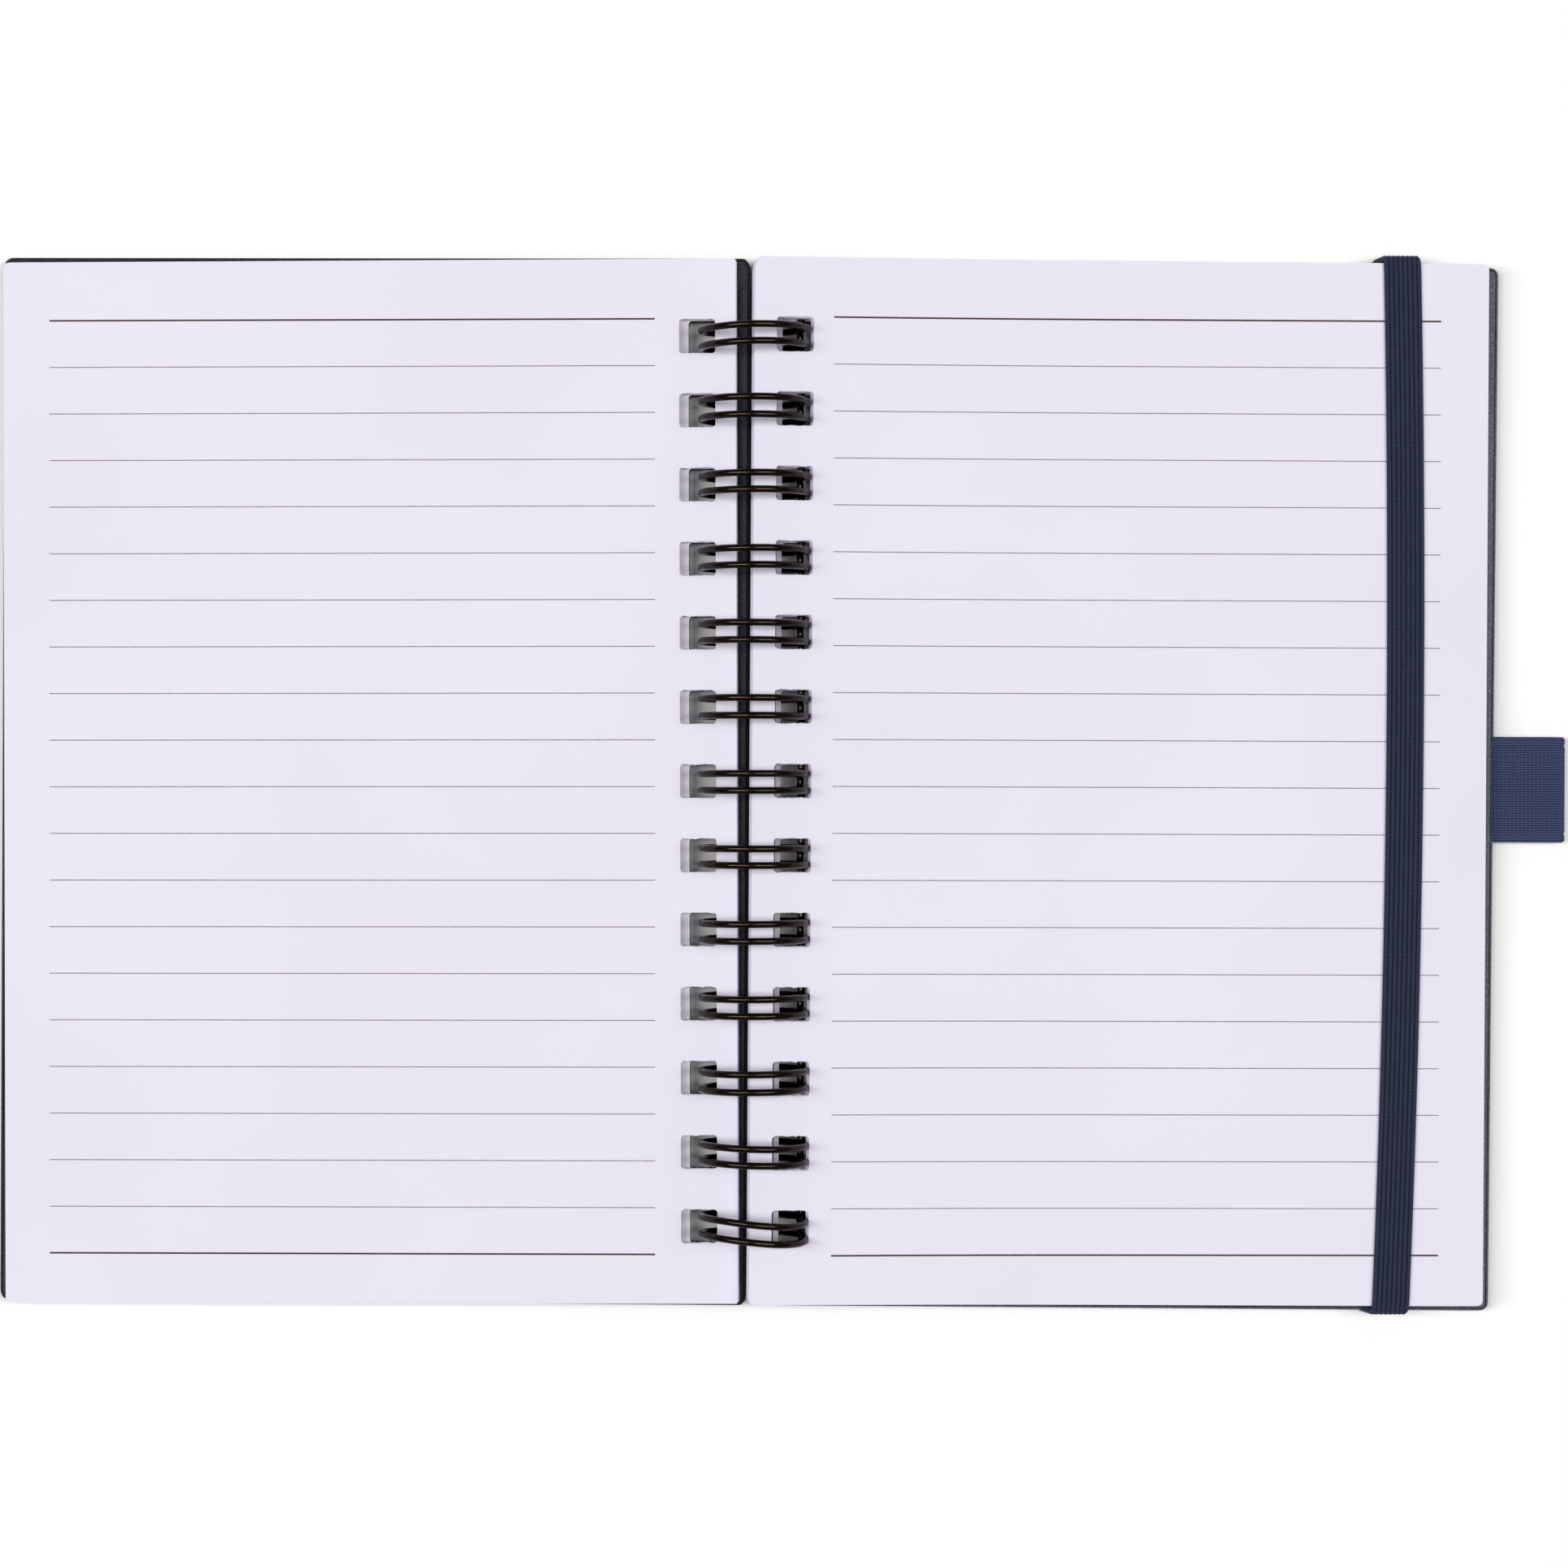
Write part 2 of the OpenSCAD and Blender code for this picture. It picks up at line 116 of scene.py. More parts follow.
class Lie:
    """How a sheet lies in its flat frame, within the play of its holes on the wire."""

    def __init__(self, u=0.0, y=0.0, turn=0.0):
        self.u, self.y, self.turn = u, y, turn

    def put(self, u, y):
        """Where a point of the sheet comes to lie."""
        return u + self.u - y * self.turn, y + self.y + u * self.turn


left_lie, right_lie = Lie(0.0, 0.16, -0.0006), Lie(-0.28, 0.22, -0.0013)
# The boards are punched a little out of square, and the ruling isn't quite in line with its leaf
front_lie, back_lie = Lie(turn=0.0063), Lie(turn=-0.0052)
left_print, right_print = Lie(0.0, -0.14, 0.0014), Lie(-0.55, -0.07, 0.0014)


def side_frame(rise, tilt, skew, mirrored):
    """The place of one side's flat frame, in millimetres and degrees."""
    flip = Matrix.Diagonal((-1 if mirrored else 1, 1, 1, 1))
    tilted = Matrix.Rotation(math.radians(tilt), 4, "Y")
    turned = Matrix.Rotation(math.radians(skew), 4, "Z")
    return Matrix.Translation((axis_x, 0, rise)) @ tilted @ turned @ flip


LEFT = side_frame(3.20119, -1.41694, 0.1, True)
RIGHT = side_frame(3.00077, 1.05276, -0.28, False)
# Tilted a little less than the left leaves, so that the wide front board clears the floor
FRONT = side_frame(3.20119, -1.4, 0.1, True)


# ---- Mesh helpers ----


def make_object(name, points, faces, place, material, body, crease=40):
    """A smooth mesh object from points in millimetres, riding on a body of the CAD."""
    if place.to_3x3().determinant() < 0:
        faces = [tuple(reversed(f)) for f in faces]
    mesh = bpy.data.meshes.new(name)
    mesh.from_pydata([place @ Vector(p) * MM for p in points], [], faces)
    mesh.validate()
    mesh.shade_smooth()
    mesh.set_sharp_from_angle(angle=math.radians(crease))
    mesh.materials.append(material)
    piece = bpy.data.objects.new(name, mesh)
    bpy.context.scene.collection.objects.link(piece)
    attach(piece, body)
    return piece


def sweep(rings, closed_ends=True):
    """Points and faces of a skin over rings of equal length, each ring closed."""
    n = len(rings[0])
    points = [p for ring in rings for p in ring]
    faces = []
    for k in range(len(rings) - 1):
        for i in range(n):
            j = (i + 1) % n
            faces.append((k * n + i, k * n + j, (k + 1) * n + j, (k + 1) * n + i))
    if closed_ends:
        last = (len(rings) - 1) * n
        faces.append(tuple(reversed(range(n))))
        faces.append(tuple(range(last, last + n)))
    return points, faces


def arc(centre, radius, start, end, steps):
    """Points on an arc in a plane, angles in degrees."""
    out = []
    for i in range(steps + 1):
        a = math.radians(start + (end - start) * i / steps)
        out.append((centre[0] + radius * math.cos(a), centre[1] + radius * math.sin(a)))
    return out


def quarter(steps):
    """Angles from 0 to a quarter turn, in radians."""
    return [math.pi / 2 * k / steps for k in range(steps + 1)]


def joined(rings):
    """The points of closed rings in one list, with the edges that close each ring."""
    points, edges = [], []
    for ring in rings:
        first, n = len(points), len(ring)
        points += ring
        edges += [(first + i, first + (i + 1) % n) for i in range(n)]
    return points, edges


# ---- Materials ----


def new_material(name, **values):
    """A Principled material with constant sockets. Returns it with its tree and shader."""
    material = bpy.data.materials.new(name)
    material.use_nodes = True
    tree = material.node_tree
    shader = tree.nodes["Principled BSDF"]
    for socket, value in values.items():
        shader.inputs[socket.replace("_", " ")].default_value = value
    return material, tree, shader


def add(tree, kind, values=None, **settings):
    """A new node with the values of its sockets and its own settings."""
    node = tree.nodes.new(kind)
    for key, value in settings.items():
        setattr(node, key, value)
    for key, value in (values or {}).items():
        node.inputs[key].default_value = value
    return node


def object_point(tree, scale=(1, 1, 1)):
    """Object coordinates in millimetres, scaled."""
    coord = add(tree, "ShaderNodeTexCoord")
    mapping = add(tree, "ShaderNodeMapping", {"Scale": [s / MM for s in scale]})
    tree.links.new(coord.outputs["Object"], mapping.inputs["Vector"])
    return mapping.outputs["Vector"]


def noise_of(tree, point, scale, detail=3.0, rough=0.5):
    values = {"Scale": scale, "Detail": detail, "Roughness": rough}
    node = add(tree, "ShaderNodeTexNoise", values)
    tree.links.new(point, node.inputs["Vector"])
    return node.outputs["Fac"]


def math_of(tree, operation, a, b):
    """The result of an operation on two values, each a number or a socket."""
    node = add(tree, "ShaderNodeMath", operation=operation)
    for index, value in enumerate((a, b)):
        if isinstance(value, (int, float)):
            node.inputs[index].default_value = value
        else:
            tree.links.new(value, node.inputs[index])
    return node.outputs[0]


def paint(tree, shader, factor, stops):
    """Colours a surface by a ramp with stops of (position, colour)."""
    node = add(tree, "ShaderNodeValToRGB")
    elements = node.color_ramp.elements
    while len(elements) < len(stops):
        elements.new(0.5)
    for element, (position, colour) in zip(elements, stops):
        element.position = position
        element.color = (*colour, 1)
    tree.links.new(factor, node.inputs["Fac"])
    tree.links.new(node.outputs["Color"], shader.inputs["Base Color"])


def bump_of(tree, shader, height, strength, distance):
    values = {"Strength": strength, "Distance": distance * MM}
    node = add(tree, "ShaderNodeBump", values)
    tree.links.new(height, node.inputs["Height"])
    tree.links.new(node.outputs["Normal"], shader.inputs["Normal"])


def leatherette(name, tint, gloss):
    """Navy-grey grained covering: small pebbles with finer creases between them."""
    material, tree, shader = new_material(
        name, Roughness=0.5, Specular_IOR_Level=gloss
    )
    creases = (0.25, (0.012, 0.012, 0.017))
    slopes = (0.6, (0.04, 0.044, 0.06))
    crowns = (0.95, (0.085, 0.095, 0.125))
    point = object_point(tree)
    cells = add(
        tree,
        "ShaderNodeTexVoronoi",
        {"Scale": 2.2, "Randomness": 1.0},
        feature="DISTANCE_TO_EDGE",
    )
    # The pebbles' cells are drawn out of shape. Mix has its vectors at inputs 4 and 5, output 1.
    wobble = add(tree, "ShaderNodeTexNoise", {"Scale": 1.1, "Detail": 2.0})
    mixed = add(tree, "ShaderNodeMix", {0: 0.25}, data_type="VECTOR", blend_type="MIX")
    tree.links.new(point, wobble.inputs["Vector"])
    tree.links.new(point, mixed.inputs[4])
    tree.links.new(wobble.outputs["Color"], mixed.inputs[5])
    tree.links.new(mixed.outputs[1], cells.inputs["Vector"])
    pebble = math_of(tree, "MINIMUM", cells.outputs["Distance"], 0.28)
    fine = noise_of(tree, point, 5.0)
    height = math_of(tree, "ADD", pebble, math_of(tree, "MULTIPLY", fine, 0.16))
    blotch = noise_of(tree, point, 0.05)
    cloud = math_of(tree, "ADD", math_of(tree, "MULTIPLY", blotch, 0.35), 0.32)
    tone = math_of(tree, "ADD", math_of(tree, "MULTIPLY", pebble, 1.6), cloud)
    stops = [
        (position, tuple(tint * c for c in colour))
        for position, colour in (creases, slopes, crowns)
    ]
    paint(tree, shader, tone, stops)
    bump_of(tree, shader, height, 0.5, 0.1)
    return material


def lining_paper():
    """Matt pale paper with a fibre grain."""
    material, tree, shader = new_material(
        "lining_paper", Roughness=0.8, Specular_IOR_Level=0.25
    )
    point = object_point(tree, (1, 0.35, 1))
    fibre = noise_of(tree, point, 3.0, 4.0, 0.65)
    stops = [(0.3, (0.76, 0.72, 0.8)), (0.75, (0.84, 0.81, 0.89))]
    paint(tree, shader, fibre, stops)
    bump_of(tree, shader, fibre, 0.3, 0.05)
    return material


def torn_card():
    """Brown card and torn covering, as a punch leaves it on the wall of a hole."""
    material, tree, shader = new_material(
        "torn_card", Roughness=0.9, Specular_IOR_Level=0.15
    )
    point = object_point(tree, (0.6, 0.6, 3))
    layers = noise_of(tree, point, 1.4, 4.0, 0.7)
    stops = [(0.3, (0.02, 0.012, 0.01)), (0.7, (0.075, 0.036, 0.022))]
    paint(tree, shader, layers, stops)
    bump_of(tree, shader, layers, 0.6, 0.2)
    return material


def page_paper():
    """Smooth writing paper with a cool tint, faint cloudiness and fibres."""
    material, tree, shader = new_material(
        "page_paper", Roughness=0.75, Specular_IOR_Level=0.25
    )
    cloud = noise_of(tree, object_point(tree), 0.02)
    fibre = noise_of(tree, object_point(tree, (0.5, 1, 1)), 3.0, 4.0, 0.7)
    tone = math_of(tree, "ADD", cloud, math_of(tree, "MULTIPLY", fibre, 0.25))
    stops = [(0.4, (0.765, 0.745, 0.865)), (0.85, (0.795, 0.778, 0.895))]
    paint(tree, shader, tone, stops)
    bump_of(tree, shader, fibre, 0.12, 0.03)
    return material


def printed_ink(name, pale, dark):
    """Printed line with a slightly uneven density."""
    material, tree, shader = new_material(name, Roughness=0.7, Specular_IOR_Level=0.2)
    spread = noise_of(tree, object_point(tree), 1.3)
    paint(tree, shader, spread, [(0.3, dark), (0.7, pale)])
    return material


def elastic(name, thread, deep, mid, high):
    """Woven elastic: thread is the pitch of the threads that cross it along y."""
    material, tree, shader = new_material(
        name,
        Roughness=0.78,
        Specular_IOR_Level=0.3,
        Sheen_Weight=0.25,
        Sheen_Roughness=0.45,
        Sheen_Tint=(0.35, 0.42, 0.7, 1),
    )
    point = object_point(tree)
    # A wave texture at scale 1 repeats after 0.314
    weave = {"Scale": 0.314 / thread, "Distortion": 1.6, "Detail": 1.5, "Detail Scale": 2.0}
    stitch = add(
        tree, "ShaderNodeTexWave", weave, wave_type="BANDS", bands_direction="Y"
    )
    tree.links.new(point, stitch.inputs["Vector"])
    fuzz = noise_of(tree, point, 7.0, 3.0, 0.7)
    threads = math_of(tree, "MULTIPLY", stitch.outputs["Fac"], 0.45)
    both = math_of(tree, "ADD", threads, math_of(tree, "MULTIPLY", fuzz, 0.55))
    paint(tree, shader, both, [(0.2, deep), (0.5, mid), (0.8, high)])
    bump_of(tree, shader, both, 0.5, 0.09)
    return material


def black_wire():
    """Gloss black coating with a faint brown cast and fine drawing lines."""
    material, tree, shader = new_material(
        "black_wire",
        Metallic=1.0,
        Roughness=0.2,
        Specular_Tint=(0.75, 0.72, 0.8, 1),
    )
    scratch = noise_of(tree, object_point(tree), 1.6, 3.0, 0.6)
    stops = [(0.3, (0.022, 0.017, 0.012)), (0.75, (0.042, 0.033, 0.023))]
    paint(tree, shader, scratch, stops)
    bump_of(tree, shader, scratch, 0.06, 0.05)
    return material


paper = page_paper()
back_covering = leatherette("back_leatherette", 1.4, 0.45)
# The front board's covering is a darker, less glossy copy of the back's. Its darkness is painted
# shade that stands in for the shade in the valley by the spine.
front_covering_painted_shade = leatherette("front_leatherette_painted_shade", 0.5, 0.24)
lining = lining_paper()
card = torn_card()
ink_strong = printed_ink("ink_strong", (0.1, 0.055, 0.06), (0.035, 0.02, 0.025))
ink_soft = printed_ink("ink_soft", (0.32, 0.27, 0.33), (0.2, 0.16, 0.2))
wire_paint = black_wire()

# The elastics, each with a darker copy that paints shade into the grooves between its ribs
band_cloth = elastic(
    "band_cloth", 0.36, (0.004, 0.006, 0.018), (0.014, 0.02, 0.05), (0.035, 0.05, 0.11)
)
band_groove_painted_shade = elastic(
    "band_groove_painted_shade", 0.36, (0.001, 0.0015, 0.006), (0.003, 0.0045, 0.014), (0.008, 0.011, 0.03)
)
loop_cloth = elastic(
    "loop_cloth", 0.42, (0.006, 0.009, 0.03), (0.025, 0.036, 0.095), (0.07, 0.095, 0.2)
)
loop_groove_painted_shade = elastic(
    "loop_groove_painted_shade", 0.42, (0.002, 0.003, 0.011), (0.006, 0.009, 0.028), (0.014, 0.02, 0.055)
)


def dress(node, material):
    """Gives a CAD node its finish."""
    mesh = frame["nodes"][node].data
    mesh.materials.clear()
    mesh.materials.append(material)


dress("front_lining", lining)
dress("back_lining", lining)


# ---- Leaves ----


def lift(u):
    """How far the seam of the wire lifts the right-hand leaves, as a share."""
    return ((flat_from - u) / (flat_from - seam_u)) ** 2 if u < flat_from else 0.0


def droop(u):
    """How far the band draws the fore edge of the right-hand stack down."""
    start = band_u + band_bow + band_w
    end = page_w - right_lap
    return fore_droop * max(0.0, u - start) / (end - start)


def left_level(u, share):
    """Height in the left-hand stack, which is flat."""
    return inner_w + left_stack_t * share


def right_level(u, share):
    """Height in the right-hand stack."""
    under = inner_w + seam_lift * lift(u)
    return under + share * (right_stack_t + right_swell * lift(u) - droop(u))


def hole_outline(margin, reach, middle_y, rng, jag, steps):
    """One punched hole, with an edge as rough as jag.

    margin is the hole's distance from the spine edge, reach its size across the leaf and steps
    the number of pieces of each straight side.
    """
    half, r = hole_size / 2, hole_corner_r
    u, wide = margin + reach / 2, reach / 2
    corners = [
        ((u + wide - r, middle_y + half - r), 0),
        ((u - wide + r, middle_y + half - r), 90),
        ((u - wide + r, middle_y - half + r), 180),
        ((u + wide - r, middle_y - half + r), 270),
    ]
    turns = [arc(centre, r, start, start + 90, 3) for centre, start in corners]
    ring = []
    for turn, following in zip(turns, turns[1:] + turns[:1]):
        ring += turn
        (ax, ay), (bx, by) = turn[-1], following[0]
        for t in [k / steps for k in range(1, steps)]:
            ring.append((ax * (1 - t) + bx * t, ay * (1 - t) + by * t))
    rough = []
    for x, y in ring:
        torn = abs(y - middle_y) > half - torn_depth
        push = rng.uniform(-jag, jag) * (1.0 if torn else calm_share)
        if torn and rng.random() < nick_chance:
            push -= 2 * jag
        away = Vector((x - u, y - middle_y)).normalized()
        rough.append((x + away.x * push, y + away.y * push))
    return rough


def long_corner(corner, wide, tall, start):
    """A corner that runs further along the spine than across it."""
    turn = arc((0, 0), 1, start, start + 90, 6)
    return [(corner[0] + wide * x, corner[1] + tall * y) for x, y in turn]


def leaf_outline(columns, corners):
    """The edge of a leaf, with points on its head and tail at each column.

    corners are the reaches of its corners at the spine, at the head and at the tail.
    """
    r, w, h = page_corner_r, page_w, page_h / 2
    (head_u, head_y), (tail_u, tail_y) = corners
    tail = [(c, -h) for c in columns]
    head = [(c, h) for c in reversed(columns)]
    ring = tail + arc((w - r, -h + r), r, -90, 0, 5)
    ring += arc((w - r, h - r), r, 0, 90, 5) + head
    ring += long_corner((head_u, h - head_y), head_u, head_y, 90)
    ring += long_corner((tail_u, -h + tail_y), tail_u, tail_y, 180)
    return ring


def inside(ring, x, y):
    """Whether a point lies inside a closed ring of points."""
    within = False
    for (ax, ay), (bx, by) in zip(ring, ring[1:] + ring[:1]):
        if (ay > y) != (by > y) and x < ax + (bx - ax) * (y - ay) / (by - ay):
            within = not within
    return within


def triangulated(points, edges, holes):
    """Points and triangles of a flat sheet, without the triangles that lie in its holes."""
    # Output type 2 gives triangles all over the sheet, also in its holes
    spots, _, faces, *_ = delaunay_2d_cdt(
        [Vector(p) for p in points], edges, [], 2, 1e-6
    )
    kept = []
    for f in faces:
        x = sum(spots[i].x for i in f) / len(f)
        y = sum(spots[i].y for i in f) / len(f)
        near = [h for h in holes if abs(h[0][1] - y) < 2 * hole_size]
        if not any(inside(h, x, y) for h in near):
            kept.append(tuple(f))
    return [(p.x, p.y) for p in spots], kept


def leaf_sheet(columns, rng, jag, steps, corners, punch):
    """Points and triangles of one flat leaf with its holes, x from its spine edge."""
    holes = [hole_outline(*punch, y, rng, jag, steps) for y in loop_y]
    points, edges = joined([leaf_outline(columns, corners)] + holes)
    margin, reach = punch
    clear = 1.0
    for x in columns:
        if not margin - clear < x < margin + reach + clear:
            points += [(x, y) for y in leaf_rows]
    return triangulated(points, edges, holes)


def rim(faces):
    """The edges that only one face has, in that face's order."""
    seen = dict.fromkeys(
        (f[i], f[(i + 1) % len(f)]) for f in faces for i in range(len(f))
    )
    return [e for e in seen if (e[1], e[0]) not in seen]


def leaf_stack(name, node, body, place, lie, count, edge_u, level, columns, play):
    """A stack of separate leaves, each out of line with the next by up to its play.

    edge_u gives the spine edge at a share, and level the height at a distance and a share.
    """
    rng = random.Random(name)
    points, faces = [], []
    for k in range(count):
        top = k == count - 1
        own = Lie()
        if not top:
            own.u = rng.uniform(-play, play)
            own.y = rng.uniform(-leaf_play_y, leaf_play_y)
            own.turn = rng.uniform(-leaf_play_turn, leaf_play_turn)
        jag = open_jag if k >= count - rough_leaves else hidden_jag
        side_steps = 12 if top else 5
        flat, tris = leaf_sheet(
            columns, rng, jag, side_steps, spine_corners[name], leaf_punch[name]
        )
        start = len(points)
        spine = edge_u((k + 0.5) / count)
        for rise in (leaf_air, 1 if top else 1 - leaf_air):
            for x, y in flat:
                u, v = lie.put(*own.put(spine + x, y))
                points.append((u, v, level(u, (k + rise) / count)))
        n = len(flat)
        faces += [tuple(start + i for i in reversed(f)) for f in tris]
        faces += [tuple(start + n + i for i in f) for f in tris]
        for a, b in rim(tris):
            faces.append((start + a, start + b, start + n + b, start + n + a))
    stack = make_object(name, points, faces, place, paper, body, 35)
    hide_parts(node)


def left_edge(share):
    """Spine edge of a left-hand leaf: the stack is fanned out evenly."""
    return left_inset + left_fan * share


def right_edge(share):
    """Spine edge of a right-hand leaf: the stack leans outwards over its spine height."""
    tall = right_level(0, 1) - right_level(0, share)
    return -right_lap - right_fan * tall / right_stack_t


# Reach of the corners at the spine: across and along it, at the head and at the tail
spine_corners = {
    "left_leaves": ((0.4, 0.4), (0.4, 0.4)),
    "right_leaves": ((1.2, 2.6), (0.5, 1.3)),
}
# Holes of the leaves: distance from the spine edge and size across the leaf
leaf_punch = {
    "left_leaves": (3.5, hole_size + 0.2),
    "right_leaves": (3.77, hole_size + 0.33),
}
# Places of the points inside a leaf, along the spine and across it
leaf_rows = [(i - 7.5) * loop_pitch * 0.86 for i in range(16)]
first_column = page_corner_r + 0.4
left_columns = [first_column, 30.0, 60.0, 90.0, 120.0]
right_columns = [first_column] + [3.2 + 3.9 * i for i in range(16)]
right_columns += [80.0, 100.0, 118.4, 121.0, 123.0]
leaf_stack(
    "left_leaves",
    "left_pages",
    "left_pages",
    LEFT,
    left_lie,
    left_count,
    left_edge,
    left_level,
    left_columns,
    play=0.03,
)
leaf_stack(
    "right_leaves",
    "right_pages",
    "root",
    RIGHT,
    right_lie,
    right_count,
    right_edge,
    right_level,
    right_columns,
    play=0.06,
)


# ---- Boards ----


def board_outline(inset, width, corners, lie, shrink):
    """The edge of a board, drawn in by shrink, with a corner of its own at each end."""
    near, far, h = inset + shrink, inset + width - shrink, cover_h / 2 - shrink
    least = 0.2
    ring = []
    for (wide, tall), x, y, start in (
        (corners[0], far, h, 0),
        (corners[1], near, h, 90),
        (corners[2], near, -h, 180),
        (corners[3], far, -h, 270),
    ):
        wide, tall = max(least, wide - shrink), max(least, tall - shrink)
        inner_x = x - wide if x == far else x + wide
        inner_y = y - tall if y > 0 else y + tall
        ring += long_corner((inner_x, inner_y), wide, tall, start)
    return [lie.put(x, y) for x, y in ring]


def board(name, node, body, place, covering, outline, hole_u):
    """A cover board with soft edges, worn corners and torn punched holes.

    outline holds the inset, width, corners and lie of its edge.
    """
    rng = random.Random(node)
    r, t, side_steps = cover_edge_r, cover_t, 10
    profile = [(r * (1 - math.sin(a)), r * (1 - math.cos(a))) for a in quarter(4)]
    rings = [
        [(x, y, w) for x, y in board_outline(*outline, d)]
        for d, w in profile + [(d, t - w) for d, w in reversed(profile)]
    ]
    points, faces = sweep(rings, closed_ends=False)
    faces = [tuple(reversed(f)) for f in faces]

    holes = [
        hole_outline(hole_u, hole_size, y, rng, open_jag, side_steps) for y in loop_y
    ]
    flat, edges = joined([board_outline(*outline, r)] + holes)
    spots, tris = triangulated(flat, edges, holes)
    for level, upwards in ((0.0, False), (t, True)):
        start = len(points)
        points += [(x, y, level) for x, y in spots]
        for f in tris:
            faces.append(tuple(start + i for i in (f if upwards else reversed(f))))

    covered = len(faces)
    for ring in holes:
        start, n = len(points), len(ring)
        points += [(x, y, 0.0) for x, y in ring] + [(x, y, t) for x, y in ring]
        for i in range(n):
            j = (i + 1) % n
            faces.append((start + i, start + n + i, start + n + j, start + j))
    piece = make_object(name, points, faces, place, covering, body, 50)
    piece.data.materials.append(card)
    for index, face in enumerate(piece.data.polygons):
        face.material_index = 1 if index >= covered else 0
    weld(piece)
    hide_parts(node)


def weld(piece):
    """Joins points that lie in the same place."""
    mesh = bmesh.new()
    mesh.from_mesh(piece.data)
    same_place = 0.002
    bmesh.ops.remove_doubles(mesh, verts=mesh.verts, dist=same_place * MM)
    mesh.to_mesh(piece.data)
    mesh.free()


# Reach of the boards' corners, across the spine and along it: at the fore edge's head, the spine's
# head, the spine's foot and the fore edge's foot
front_corners = ((1.5, 1.4), (1.5, 2.6), (1.4, 2.0), (1.4, 1.8))
back_corners = ((1.4, 1.4), (1.4, 1.8), (1.4, 1.8), (1.6, 1.4))
board(
    "front_board",
    "front_cover",
    "front_cover",
    FRONT,
    front_covering_painted_shade,
    (front_inset, front_w, front_corners, front_lie),
    front_hole_u,
)
board(
    "back_board",
    "back_cover",
    "root",
    RIGHT,
    back_covering,
    (back_inset, back_w, back_corners, back_lie),
    back_hole_u,
)


# ---- Ruling ----


def ruling(name, node, body, place, lie, start_u, level, columns):
    """Ink lines that lie on the top leaf, the first and last of them bold."""
    ends = [start_u, start_u + line_len]
    stops = sorted(ends + [c for c in columns if ends[0] < c < ends[1]])
    points, faces, bold = [], [], []
    for i in range(line_count):
        edge_line = i in (0, line_count - 1)
        half = (line_bold if edge_line else line_fine) / 2
        y = ((line_count - 1) / 2 - i) * line_pitch - line_drop
        rings = []
        for u in stops:
            far_u, head_y = lie.put(u, y + half)
            near_u, foot_y = lie.put(u, y - half)
            far_low, near_low = level(far_u, 1), level(near_u, 1)
            rings.append(
                [
                    (far_u, head_y, far_low),
                    (near_u, foot_y, near_low),
                    (near_u, foot_y, near_low + ink_t),
                    (far_u, head_y, far_low + ink_t),
                ]
            )
        spots, skins = sweep(rings)
        faces += [tuple(len(points) + v for v in f) for f in skins]
        points += spots
        bold += [edge_line] * len(skins)
    lines = make_object(name, points, faces, place, ink_soft, body)
    lines.data.materials.append(ink_strong)
    for face, strong in zip(lines.data.polygons, bold):
        face.material_index = 1 if strong else 0
    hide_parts(node)


ruling(
    "left_lines",
    "left_ruling",
    "left_pages",
    LEFT,
    left_print,
    left_inset + left_fan + line_inset,
    left_level,
    [],
)
ruling(
    "right_lines",
    "right_ruling",
    "root",
    RIGHT,
    right_print,
    line_inset - right_lap,
    right_level,
    right_columns,
)


# ---- Elastic band ----


def band_mid(y):
    """Where the middle of the band lies across the page, at a place along it."""
    turn_y = cover_h / 2
    return band_u + band_bow * (1 - (y / turn_y) ** 2) + band_lean * y / turn_y


def ribbed_section(width, thick, ribs, depth, per_rib):
    """Closed section of ribbed elastic with rounded sides, as (across, out) points."""
    fullness, roundness = 0.55, 1.6
    upper = []
    count = ribs * per_rib
    for i in range(count + 1):
        t = i / count
        ridge = abs(math.sin(math.pi * ribs * t)) ** fullness
        edge = min(1.0, min(t, 1 - t) * ribs * roundness) ** 0.5
        high = thick / 2 * edge - depth * (1 - ridge) * edge
        upper.append(((t - 0.5) * width, high))
    return upper + [(a, -b) for a, b in reversed(upper[1:-1])]


def groove_quad(index, per_rib, count):
    """Whether a strip of the ribbed section lies in a groove between two ribs."""
    strip = index if index < count else 2 * count - 1 - index
    in_rib = strip % per_rib
    inner = 1 <= strip // per_rib or in_rib == per_rib - 1
    return inner and strip < count - 1 and in_rib in (0, per_rib - 1)


def band_path():
    """Middle line of half the band as (y, w, out y, out w), from mid page to its end.

    It goes along the page, down at the board's head, back under the board and up into it.
    """
    r = band_fold_r
    page_steps, fold_steps, side_steps, under_steps = 90, 6, 8, 16
    over_w = inner_w + right_stack_t + ink_t + band_t / 2
    bend_r = r + band_t / 2
    turn_y, slit_y = cover_h / 2, cover_h / 2 - slit_in
    path = []
    for i in range(page_steps):
        path.append(((turn_y - r) * i / page_steps, over_w, 0.0, 1.0))
    for y, w in arc((turn_y - r, over_w - bend_r), bend_r, 90, 0, fold_steps):
        out = Vector((y - turn_y + r, w - over_w + bend_r)).normalized()
        path.append((y, w, out.x, out.y))
    for i in range(1, side_steps):
        w = (over_w - bend_r) + (r - over_w + bend_r) * i / side_steps
        path.append((turn_y + band_t / 2, w, 1.0, 0.0))
    for y, w in arc((turn_y - r, r), bend_r, 0, -90, fold_steps):
        out = Vector((y - turn_y + r, w - r)).normalized()
        path.append((y, w, out.x, out.y))
    for i in range(1, under_steps + 1):
        y = (turn_y - r) + (slit_y - turn_y + r) * i / under_steps
        path.append((y, -band_t / 2, 0.0, -1.0))
    mid_y, end_w = slit_y - band_t / 2, cover_t - band_t / 2
    path.append((mid_y, 0.1, -1.0, -1.0))
    path.append((mid_y, 1.3, -1.0, 0.6))
    path.append((mid_y - 0.7, end_w, -0.2, 1.0))
    path.append((slit_y - band_tail, end_w, 0.0, 1.0))
    return path


